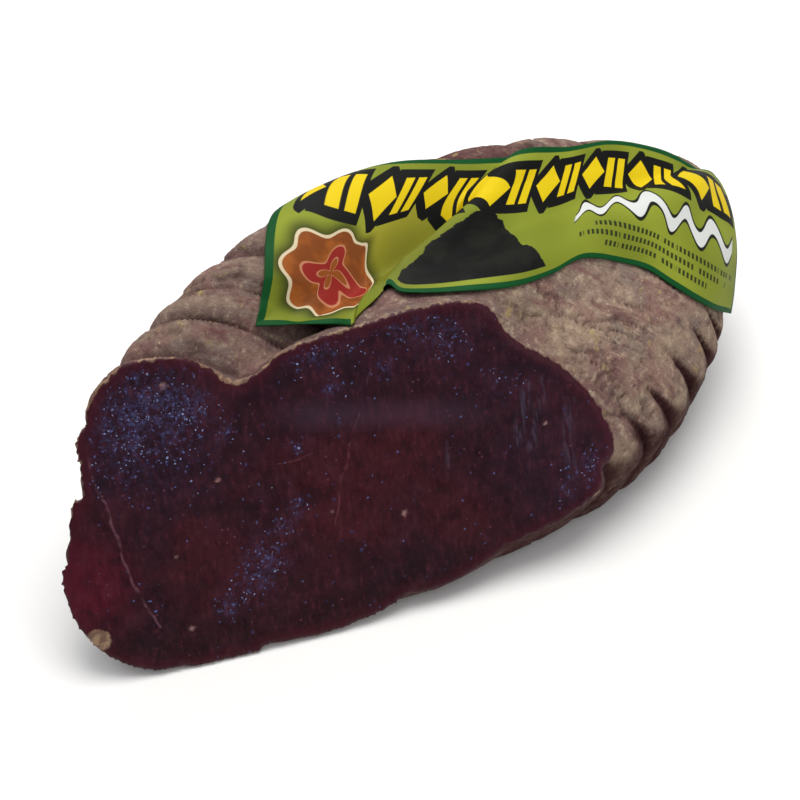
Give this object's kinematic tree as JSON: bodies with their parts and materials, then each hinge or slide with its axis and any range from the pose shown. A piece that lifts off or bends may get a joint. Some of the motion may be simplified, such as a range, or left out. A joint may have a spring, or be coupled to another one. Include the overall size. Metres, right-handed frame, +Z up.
{
  "type": "venison cecina",
  "caption": "Whole-muscle piece of air-dried venison with string-net furrows, cut on the bias, with a paper label draped over its top.",
  "frame": {"origin": "on the ground, under the middle of the whole piece's bounding box", "axes": "+X along the muscle, from the cut face's low corner to the whole far end; +Y to the back; +Z up"},
  "size_m": [0.2218, 0.1058, 0.0792],
  "materials": {
    "rind": "dry mouldy rind, matte, with a glossy dark red cut face",
    "label_paper": "coated paper, satin print"
  },
  "bodies": {
    "root": {"meat": "rind", "label": "label_paper"}
  },
  "joints": []
}
